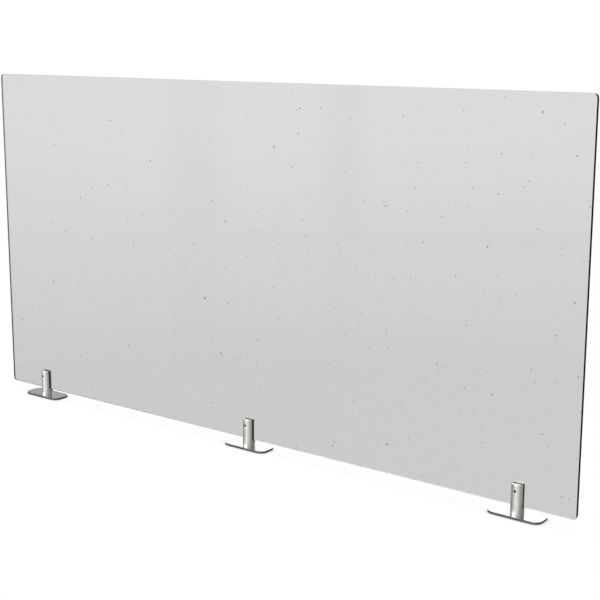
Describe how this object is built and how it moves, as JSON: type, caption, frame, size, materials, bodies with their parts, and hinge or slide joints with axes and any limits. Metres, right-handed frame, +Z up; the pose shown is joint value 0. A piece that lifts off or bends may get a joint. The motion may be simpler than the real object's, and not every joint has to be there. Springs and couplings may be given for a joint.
{
  "type": "desk privacy panel",
  "caption": "Clear acrylic desk privacy panel held upright in slotted round metal posts on small tape-down base plates, clamped by grub screws.",
  "frame": {"origin": "on the desk surface, at the middle of the panel's length, under the sheet's mid-plane", "axes": "+X along the panel's length, +Y to its back (the grub screws face -Y), +Z up"},
  "size_m": [1.2192, 0.038, 0.6256],
  "materials": {
    "clear_acrylic": "clear, polished edges",
    "satin_nickel": "satin, turned",
    "plate_steel": "satin, brushed lengthwise",
    "foam_tape": "matte foam tape",
    "zinc_steel": "zinc plated",
    "black_rubber": "matte",
    "black_steel": "black oxide",
    "white_nylon": "semi-matte"
  },
  "bodies": {
    "brackets": {"post_left": "satin_nickel", "post_centre": "satin_nickel", "post_right": "satin_nickel", "base_plate_left": "plate_steel", "base_plate_centre": "plate_steel", "base_plate_right": "plate_steel", "adhesive_pad_left": "foam_tape", "adhesive_pad_centre": "foam_tape", "adhesive_pad_right": "foam_tape", "plate_screw_left": "zinc_steel", "plate_screw_centre": "zinc_steel", "plate_screw_right": "zinc_steel", "slot_liner_left": "black_rubber", "slot_liner_centre": "black_rubber", "slot_liner_right": "black_rubber"},
    "sheet": {"panel": "clear_acrylic"},
    "left_pad": {"pressure_pad_left": "white_nylon"},
    "left_screw": {"grub_screw_left": "black_steel"},
    "centre_pad": {"pressure_pad_centre": "white_nylon"},
    "centre_screw": {"grub_screw_centre": "black_steel"},
    "right_pad": {"pressure_pad_right": "white_nylon"},
    "right_screw": {"grub_screw_right": "black_steel"}
  },
  "joints": [
    {"name": "sheet_lift", "type": "slide", "parent": "brackets", "child": "sheet", "axis": [0, 0, 1], "range_m": [0, 0.045]},
    {"name": "left_screw_advance", "type": "slide", "parent": "brackets", "child": "left_pad", "axis": [0, 1, 0], "range_m": [-0.0014, 0]},
    {"name": "left_screw_turn", "type": "hinge", "parent": "left_pad", "child": "left_screw", "pos_m": [-0.5146, -0.00535, 0.041], "axis": [0, 1, 0], "range_deg": [-720, 0]},
    {"name": "centre_screw_advance", "type": "slide", "parent": "brackets", "child": "centre_pad", "axis": [0, 1, 0], "range_m": [-0.0014, 0]},
    {"name": "centre_screw_turn", "type": "hinge", "parent": "centre_pad", "child": "centre_screw", "pos_m": [0, -0.00535, 0.041], "axis": [0, 1, 0], "range_deg": [-720, 0]},
    {"name": "right_screw_advance", "type": "slide", "parent": "brackets", "child": "right_pad", "axis": [0, 1, 0], "range_m": [-0.0014, 0]},
    {"name": "right_screw_turn", "type": "hinge", "parent": "right_pad", "child": "right_screw", "pos_m": [0.5146, -0.00535, 0.041], "axis": [0, 1, 0], "range_deg": [-720, 0]}
  ],
  "couplings": [
    {"joint": "left_screw_turn", "follows": "left_screw_advance", "rad_per_m": 8975.9},
    {"joint": "centre_screw_turn", "follows": "centre_screw_advance", "rad_per_m": 8975.9},
    {"joint": "right_screw_turn", "follows": "right_screw_advance", "rad_per_m": 8975.9}
  ]
}
